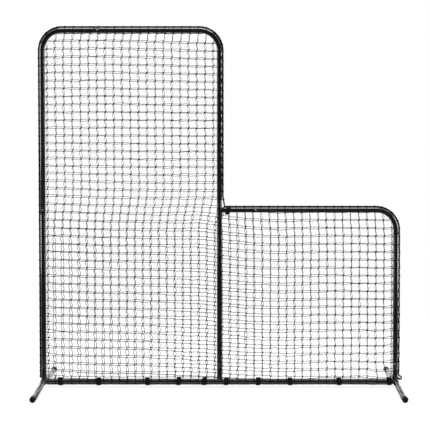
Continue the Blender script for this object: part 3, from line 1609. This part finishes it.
# Hook-and-loop straps wound round the bottom bar, and one at the notch
strapSize = {
    "width": 0.028,
    "thickness": 0.0019,
    "clear": 0.0212,
    "notchClear": 0.0236,
    "turns": 1.14,
    "turnPoints": 22,
    "acrossParts": 6,
    "start": (60, 36),  # degrees of the first strap's start, and more for each of three
    "notchStart": 198,
    "skew": 0.10,
    "notchSkew": 0.22,
    "ripple": 0.0004,
    "overlap": (0.0022, 0.80, 0.12),
    "tail": (0.0030, 0.955, 0.045),
    "crown": 0.0006,
    "flutter": 0.0003,
}


def strapTurns(number, notch, clear, parts):
    # Angle and radius at each part of the winding; its tail lies over its start.
    first, more = strapSize["start"]
    start = math.radians(strapSize["notchStart"] if notch else first + more * (number % 3))
    points = []
    for step in range(parts + 1):
        share = step / parts
        turn = start + fullTurn * strapSize["turns"] * share
        size = clear + strapSize["ripple"] * math.sin(3 * turn + number)
        for amount, place, run in (strapSize["overlap"], strapSize["tail"]):
            size += amount * rising(share, place, run)
        points.append((turn, size))
    return points


def buildStrap(number, name):
    wander = random.Random(100 + number)
    low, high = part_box(name)
    notch = name == "notch_strap"
    centre = at((low.x + high.x) / 2, lowZ if notch else barZ)
    clear = (strapSize["notchClear"] if notch else strapSize["clear"]) + strapSize["thickness"] / 2
    skew = strapSize["notchSkew"] if notch else wander.uniform(-strapSize["skew"], strapSize["skew"])
    parts = int(strapSize["turnPoints"] * strapSize["turns"])
    points = strapTurns(number, notch, clear, parts)
    winding = fullTurn * strapSize["turns"]
    bm = bmesh.new()
    uv = bm.loops.layers.uv.verify()
    across = strapSize["acrossParts"]
    for vert in bmesh.ops.create_grid(bm, x_segments=parts, y_segments=across, size=0.5)["verts"]:
        turn, size = points[round((vert.co.x + 0.5) * parts)]
        aside = vert.co.y
        for loop in vert.link_loops:
            loop[uv].uv = ((vert.co.x + 0.5) * winding * clear, aside * strapSize["width"])
        size += strapSize["flutter"] * math.sin(9 * turn + 5 * aside) - strapSize["crown"] * (2 * aside) ** 2
        x = centre.x + aside * strapSize["width"] + skew * size * math.sin(turn)
        vert.co = Vector((x, math.cos(turn) * size, centre.z + math.sin(turn) * size))
    piece = finishMesh(name + "_webbing", bm, webbing, meshWork["softAngle"])
    thick = piece.modifiers.new("thickness", "SOLIDIFY")
    thick.thickness = strapSize["thickness"]
    thick.offset = 0
    soft = piece.modifiers.new("soft", "SUBSURF")
    soft.levels = soft.render_levels = 1
    seat(piece, bodyOf[name], name)


strapNames = sorted(name for name in frame["nodes"] if name.startswith("net_strap_")) + ["notch_strap"]
for strapNumber, strapName in enumerate(strapNames):
    buildStrap(strapNumber, strapName)
print("straps built")


# Floor, lamps and world
studio = {
    "floor": (0.80, 0.80, 0.80, 1),
    "floorHalfWidth": 40,
    "floorFaint": (0.25, 0.25, 0.25, 1),
    "floorGlow": 0.82,
    "floorMirrored": (0.08, 0.08, 0.08, 1),
    "mirrored": (0.1, -0.3),  # in front of this the floor fades into the dark room, as reflections see it
    "plain": (1.6, 3.2),  # further out the floor is seen as plain white
    "world": 0.33,
    "room": 0.03,  # what lies behind the camera, as reflections see it
    "roomTo": (-0.80, -0.20),
    "above": (0.55, 0.90),
    "lamps": (
        ("overheadLamp", (0.0, 0.0, 5.2), (0, 0, 0), (3.8, 2.2), 155.0),
        ("leftLamp", (-4.6, 0.0, 1.8), (0, -90, 0), (2.6, 1.9), 96.0),
        ("rightLamp", (4.6, 0.0, 1.5), (0, 90, 0), (2.6, 1.9), 104.0),
    ),
}


def whiteLight(tree, kind, place, strength):
    return node(tree, kind, place, {"Color": (1, 1, 1, 1), "Strength": strength}).outputs[0]


def mixShader(tree, place, factor, first, second):
    return node(tree, "ShaderNodeMixShader", place, {0: factor, 1: first, 2: second}).outputs[0]


def rayKinds(tree, place):
    # 1 for rays from the camera and for reflected or refracted ones, then 1 for reflected ones alone.
    path = node(tree, "ShaderNodeLightPath", place).outputs
    seen = maths(tree, (place[0] + 200, place[1]), "MAXIMUM", path["Is Camera Ray"], path["Is Glossy Ray"])
    seen = maths(tree, (place[0] + 400, place[1]), "MAXIMUM", seen, path["Is Transmission Ray"])
    return seen, path["Is Glossy Ray"]


def floorMaterial():
    material = bpy.data.materials.new("paleFloor")
    material.use_nodes = True
    tree = material.node_tree
    tree.nodes.clear()
    plain, faint, mirrored = (
        node(tree, "ShaderNodeBsdfDiffuse", (0, y), {"Color": studio[name]}).outputs[0]
        for name, y in (("floor", 200), ("floorFaint", 0), ("floorMirrored", -450))
    )
    glow = whiteLight(tree, "ShaderNodeEmission", (0, -200), studio["floorGlow"])
    lit = node(tree, "ShaderNodeAddShader", (200, -100), {0: faint, 1: glow}).outputs[0]
    far = whiteLight(tree, "ShaderNodeEmission", (0, -330), 1.0)
    place = node(tree, "ShaderNodeTexCoord", (-500, -300)).outputs["Object"]
    reach = node(tree, "ShaderNodeVectorMath", (-320, -300), {0: place}, operation="LENGTH").outputs["Value"]
    near = mixShader(tree, (250, -180), mapped(tree, (-160, -300), reach, *studio["plain"]), lit, far)
    front = mapped(tree, (-160, -550), separated(tree, (-320, -550), place)["Y"], *studio["mirrored"])
    reflected = mixShader(tree, (250, -420), front, near, mirrored)
    seen, glossy = rayKinds(tree, (-500, 300))
    around = mixShader(tree, (380, -200), glossy, near, reflected)
    surface = mixShader(tree, (520, 0), seen, plain, around)
    node(tree, "ShaderNodeOutputMaterial", (700, 0), {"Surface": surface})
    return material


def addFloor():
    bm = bmesh.new()
    bmesh.ops.create_grid(bm, x_segments=2, y_segments=2, size=studio["floorHalfWidth"])
    mesh = bpy.data.meshes.new("studioFloor")
    bm.to_mesh(mesh)
    bm.free()
    mesh.materials.append(floorMaterial())
    floor = bpy.data.objects.new("studioFloor", mesh)
    bpy.context.scene.collection.objects.link(floor)


def addLamps():
    for name, place, turn, size, power in studio["lamps"]:
        data = bpy.data.lights.new(name, "AREA")
        data.shape = "RECTANGLE"
        data.size, data.size_y = size
        data.energy = power
        lamp = bpy.data.objects.new(name, data)
        lamp.location = place
        lamp.rotation_euler = [math.radians(angle) for angle in turn]
        bpy.context.scene.collection.objects.link(lamp)


def addWorld():
    world = bpy.data.worlds.new("whiteStudio")
    world.use_nodes = True
    bpy.context.scene.world = world
    tree = world.node_tree
    tree.nodes.clear()
    way = node(tree, "ShaderNodeTexCoord", (-1100, -300)).outputs["Generated"]
    parts = separated(tree, (-900, -300), way)
    back = mapped(tree, (-700, -200), parts["Y"], *studio["roomTo"], studio["room"], 1.0)
    above = mapped(tree, (-700, -450), parts["Z"], *studio["above"])
    bright = maths(tree, (-450, -300), "MAXIMUM", back, above)
    kind = "ShaderNodeBackground"
    dim = whiteLight(tree, kind, (100, 150), studio["world"])
    white = whiteLight(tree, kind, (100, -50), 1.0)
    seen, glossy = rayKinds(tree, (-600, 300))
    around = mixShader(tree, (300, -100), glossy, white, whiteLight(tree, kind, (100, -250), bright))
    surface = mixShader(tree, (480, 0), seen, dim, around)
    node(tree, "ShaderNodeOutputWorld", (600, 0), {"Surface": surface})


addFloor()
addLamps()
addWorld()
bpy.context.scene.view_settings.view_transform = "Standard"
print("studio lit")
